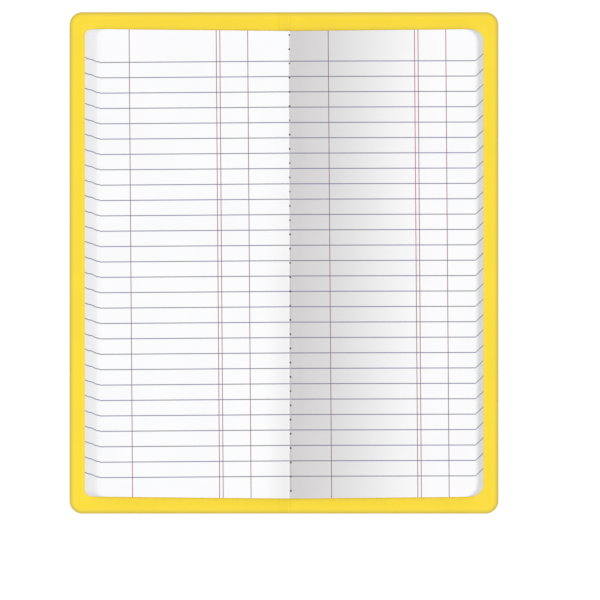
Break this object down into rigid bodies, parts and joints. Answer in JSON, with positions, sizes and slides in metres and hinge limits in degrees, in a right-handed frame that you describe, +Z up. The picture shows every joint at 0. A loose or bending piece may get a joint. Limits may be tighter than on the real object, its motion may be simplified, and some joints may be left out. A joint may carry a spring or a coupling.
{
  "type": "tally book",
  "caption": "Slim pocket record book lying open: sewn ruled leaves in a soft yellow vinyl cover with welded inner pockets; the cover and leaves close about the spine.",
  "frame": {"origin": "on the table under the middle of the open cover, at the centre of the bounding box's base", "axes": "+X towards the right hand page, +Y towards the head of the page, +Z up from the table"},
  "size_m": [0.1764, 0.2064, 0.0036],
  "materials": {
    "vinyl": "soft gloss embossed vinyl",
    "pocket_vinyl": "soft gloss vinyl, welded at the rim",
    "card": "matt card",
    "paper": "uncoated ruled paper",
    "thread": "waxed sewing thread"
  },
  "bodies": {
    "back_cover": {"back_cover_skin": "vinyl", "back_pocket": "pocket_vinyl", "back_card": "card"},
    "front_cover": {"front_cover_skin": "vinyl", "front_pocket": "pocket_vinyl", "front_card": "card"},
    "spine": {"spine_skin": "vinyl"},
    "binding": {"sewn_fold": "paper", "binding_thread": "thread"},
    "right_01": {"right_leaves_01": "paper"},
    "right_02": {"right_leaves_02": "paper"},
    "right_03": {"right_leaves_03": "paper"},
    "right_04": {"right_leaves_04": "paper"},
    "right_05": {"right_leaves_05": "paper"},
    "right_06": {"right_leaves_06": "paper"},
    "right_07": {"right_leaves_07": "paper"},
    "right_08": {"right_leaves_08": "paper"},
    "right_09": {"right_leaves_09": "paper"},
    "right_10": {"right_leaves_10": "paper"},
    "right_11": {"right_leaves_11": "paper"},
    "right_12": {"right_leaves_12": "paper"},
    "left_01": {"left_leaves_01": "paper"},
    "left_02": {"left_leaves_02": "paper"},
    "left_03": {"left_leaves_03": "paper"},
    "left_04": {"left_leaves_04": "paper"},
    "left_05": {"left_leaves_05": "paper"},
    "left_06": {"left_leaves_06": "paper"},
    "left_07": {"left_leaves_07": "paper"},
    "left_08": {"left_leaves_08": "paper"},
    "left_09": {"left_leaves_09": "paper"},
    "left_10": {"left_leaves_10": "paper"},
    "left_11": {"left_leaves_11": "paper"},
    "left_12": {"left_leaves_12": "paper"}
  },
  "joints": [
    {"name": "cover_close", "type": "hinge", "parent": "back_cover", "child": "front_cover", "pos_m": [0, 0, 0.0035], "axis": [0, 1, 0], "range_deg": [0, 180]},
    {"name": "spine_turn", "type": "hinge", "parent": "back_cover", "child": "spine", "pos_m": [0.00188, 0, 0.00162], "axis": [0, 1, 0], "range_deg": [0, 90]},
    {"name": "right_01_slide", "type": "slide", "parent": "back_cover", "child": "right_01", "axis": [1, 0, 0], "range_m": [0, 0.0001652]},
    {"name": "right_02_slide", "type": "slide", "parent": "back_cover", "child": "right_02", "axis": [1, 0, 0], "range_m": [0, 0.0003293]},
    {"name": "right_03_slide", "type": "slide", "parent": "back_cover", "child": "right_03", "axis": [1, 0, 0], "range_m": [0, 0.0004935]},
    {"name": "right_04_slide", "type": "slide", "parent": "back_cover", "child": "right_04", "axis": [1, 0, 0], "range_m": [0, 0.0006576]},
    {"name": "right_05_slide", "type": "slide", "parent": "back_cover", "child": "right_05", "axis": [1, 0, 0], "range_m": [0, 0.0008218]},
    {"name": "right_06_slide", "type": "slide", "parent": "back_cover", "child": "right_06", "axis": [1, 0, 0], "range_m": [0, 0.000986]},
    {"name": "right_07_slide", "type": "slide", "parent": "back_cover", "child": "right_07", "axis": [1, 0, 0], "range_m": [0, 0.00115]},
    {"name": "right_08_slide", "type": "slide", "parent": "back_cover", "child": "right_08", "axis": [1, 0, 0], "range_m": [0, 0.00131]},
    {"name": "right_09_slide", "type": "slide", "parent": "back_cover", "child": "right_09", "axis": [1, 0, 0], "range_m": [0, 0.00148]},
    {"name": "right_10_slide", "type": "slide", "parent": "back_cover", "child": "right_10", "axis": [1, 0, 0], "range_m": [0, 0.00164]},
    {"name": "right_11_slide", "type": "slide", "parent": "back_cover", "child": "right_11", "axis": [1, 0, 0], "range_m": [0, 0.00181]},
    {"name": "right_12_slide", "type": "slide", "parent": "back_cover", "child": "right_12", "axis": [1, 0, 0], "range_m": [0, 0.00197]},
    {"name": "left_01_turn", "type": "hinge", "parent": "right_01", "child": "left_01", "pos_m": [0.00015, 0, 0.0035], "axis": [0, 1, 0], "range_deg": [0, 180]},
    {"name": "left_02_turn", "type": "hinge", "parent": "right_02", "child": "left_02", "pos_m": [0.0003, 0, 0.0035], "axis": [0, 1, 0], "range_deg": [0, 180]},
    {"name": "left_03_turn", "type": "hinge", "parent": "right_03", "child": "left_03", "pos_m": [0.00045, 0, 0.0035], "axis": [0, 1, 0], "range_deg": [0, 180]},
    {"name": "left_04_turn", "type": "hinge", "parent": "right_04", "child": "left_04", "pos_m": [0.0006, 0, 0.0035], "axis": [0, 1, 0], "range_deg": [0, 180]},
    {"name": "left_05_turn", "type": "hinge", "parent": "right_05", "child": "left_05", "pos_m": [0.00075, 0, 0.0035], "axis": [0, 1, 0], "range_deg": [0, 180]},
    {"name": "left_06_turn", "type": "hinge", "parent": "right_06", "child": "left_06", "pos_m": [0.0009, 0, 0.0035], "axis": [0, 1, 0], "range_deg": [0, 180]},
    {"name": "left_07_turn", "type": "hinge", "parent": "right_07", "child": "left_07", "pos_m": [0.00105, 0, 0.0035], "axis": [0, 1, 0], "range_deg": [0, 180]},
    {"name": "left_08_turn", "type": "hinge", "parent": "right_08", "child": "left_08", "pos_m": [0.0012, 0, 0.0035], "axis": [0, 1, 0], "range_deg": [0, 180]},
    {"name": "left_09_turn", "type": "hinge", "parent": "right_09", "child": "left_09", "pos_m": [0.00135, 0, 0.0035], "axis": [0, 1, 0], "range_deg": [0, 180]},
    {"name": "left_10_turn", "type": "hinge", "parent": "right_10", "child": "left_10", "pos_m": [0.0015, 0, 0.0035], "axis": [0, 1, 0], "range_deg": [0, 180]},
    {"name": "left_11_turn", "type": "hinge", "parent": "right_11", "child": "left_11", "pos_m": [0.00165, 0, 0.0035], "axis": [0, 1, 0], "range_deg": [0, 180]},
    {"name": "left_12_turn", "type": "hinge", "parent": "right_12", "child": "left_12", "pos_m": [0.0018, 0, 0.0035], "axis": [0, 1, 0], "range_deg": [0, 180]},
    {"name": "fold_turn", "type": "hinge", "parent": "right_12", "child": "binding", "pos_m": [0.0018, 0, 0.0035], "axis": [0, 1, 0], "range_deg": [0, 90]}
  ],
  "couplings": [
    {"joint": "spine_turn", "follows": "cover_close", "ratio": 0.5},
    {"joint": "right_01_slide", "follows": "cover_close", "m_per_rad": 0.000052254},
    {"joint": "right_02_slide", "follows": "cover_close", "m_per_rad": 0.00010451},
    {"joint": "right_03_slide", "follows": "cover_close", "m_per_rad": 0.00015676},
    {"joint": "right_04_slide", "follows": "cover_close", "m_per_rad": 0.00020901},
    {"joint": "right_05_slide", "follows": "cover_close", "m_per_rad": 0.00026127},
    {"joint": "right_06_slide", "follows": "cover_close", "m_per_rad": 0.00031352},
    {"joint": "right_07_slide", "follows": "cover_close", "m_per_rad": 0.00036577},
    {"joint": "right_08_slide", "follows": "cover_close", "m_per_rad": 0.00041803},
    {"joint": "right_09_slide", "follows": "cover_close", "m_per_rad": 0.00047028},
    {"joint": "right_10_slide", "follows": "cover_close", "m_per_rad": 0.00052254},
    {"joint": "right_11_slide", "follows": "cover_close", "m_per_rad": 0.00057479},
    {"joint": "right_12_slide", "follows": "cover_close", "m_per_rad": 0.00062704},
    {"joint": "left_01_turn", "follows": "cover_close", "ratio": 1},
    {"joint": "left_02_turn", "follows": "cover_close", "ratio": 1},
    {"joint": "left_03_turn", "follows": "cover_close", "ratio": 1},
    {"joint": "left_04_turn", "follows": "cover_close", "ratio": 1},
    {"joint": "left_05_turn", "follows": "cover_close", "ratio": 1},
    {"joint": "left_06_turn", "follows": "cover_close", "ratio": 1},
    {"joint": "left_07_turn", "follows": "cover_close", "ratio": 1},
    {"joint": "left_08_turn", "follows": "cover_close", "ratio": 1},
    {"joint": "left_09_turn", "follows": "cover_close", "ratio": 1},
    {"joint": "left_10_turn", "follows": "cover_close", "ratio": 1},
    {"joint": "left_11_turn", "follows": "cover_close", "ratio": 1},
    {"joint": "left_12_turn", "follows": "cover_close", "ratio": 1},
    {"joint": "fold_turn", "follows": "cover_close", "ratio": 0.5}
  ]
}
